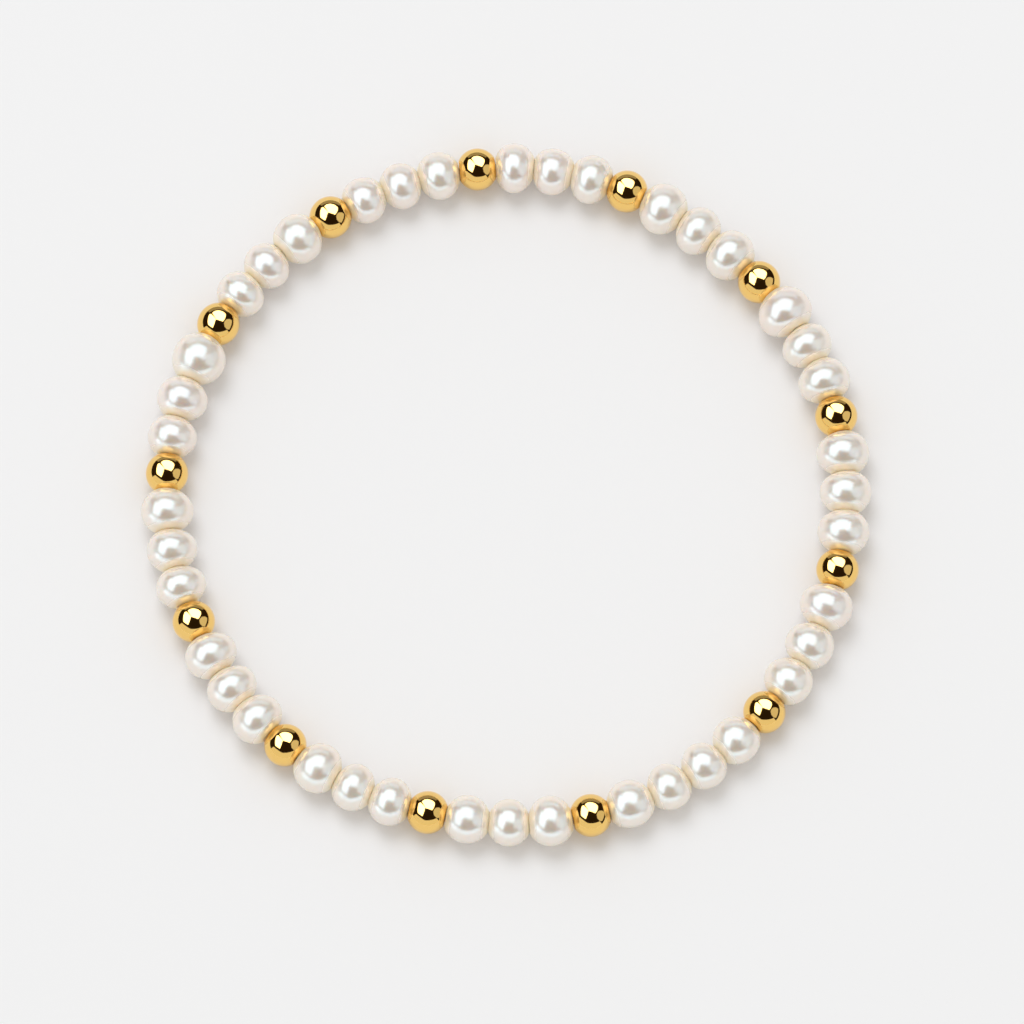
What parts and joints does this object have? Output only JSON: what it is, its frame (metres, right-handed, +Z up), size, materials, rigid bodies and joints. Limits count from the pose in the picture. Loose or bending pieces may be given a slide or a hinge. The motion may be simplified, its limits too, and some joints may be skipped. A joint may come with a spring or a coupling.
{
  "type": "pearl bracelet",
  "caption": "Stretch bracelet of small drilled white pearls with round polished gold beads between them, strung on a hidden elastic and lying in a full round loop.",
  "frame": {"origin": "on the table, under the middle of the bracelet's box", "axes": "+Z up, along the axis of the wrist; +X to the picture's right; +Y to the picture's top, away from the camera"},
  "size_m": [0.0614, 0.0614, 0.0046],
  "materials": {
    "pearl": "lustrous white nacre with cream and rose overtones",
    "gold": "mirror polished yellow gold",
    "elastic": "clear to milky stretch cord"
  },
  "bodies": {
    "root": {"pearl_01": "pearl", "pearl_02": "pearl", "pearl_03": "pearl", "pearl_04": "pearl", "pearl_05": "pearl", "pearl_06": "pearl", "pearl_07": "pearl", "pearl_08": "pearl", "pearl_09": "pearl", "pearl_10": "pearl", "pearl_11": "pearl", "pearl_12": "pearl", "pearl_13": "pearl", "pearl_14": "pearl", "pearl_15": "pearl", "pearl_16": "pearl", "pearl_17": "pearl", "pearl_18": "pearl", "pearl_19": "pearl", "pearl_20": "pearl", "pearl_21": "pearl", "pearl_22": "pearl", "pearl_23": "pearl", "pearl_24": "pearl", "pearl_25": "pearl", "pearl_26": "pearl", "pearl_27": "pearl", "pearl_28": "pearl", "pearl_29": "pearl", "pearl_30": "pearl", "pearl_31": "pearl", "pearl_32": "pearl", "pearl_33": "pearl", "pearl_34": "pearl", "pearl_35": "pearl", "pearl_36": "pearl", "pearl_37": "pearl", "pearl_38": "pearl", "pearl_39": "pearl", "pearl_40": "pearl", "gold_bead_01": "gold", "gold_bead_02": "gold", "gold_bead_03": "gold", "gold_bead_04": "gold", "gold_bead_05": "gold", "gold_bead_06": "gold", "gold_bead_07": "gold", "gold_bead_08": "gold", "gold_bead_09": "gold", "gold_bead_10": "gold", "gold_bead_11": "gold", "gold_bead_12": "gold", "gold_bead_13": "gold", "elastic_cord": "elastic"}
  },
  "joints": []
}
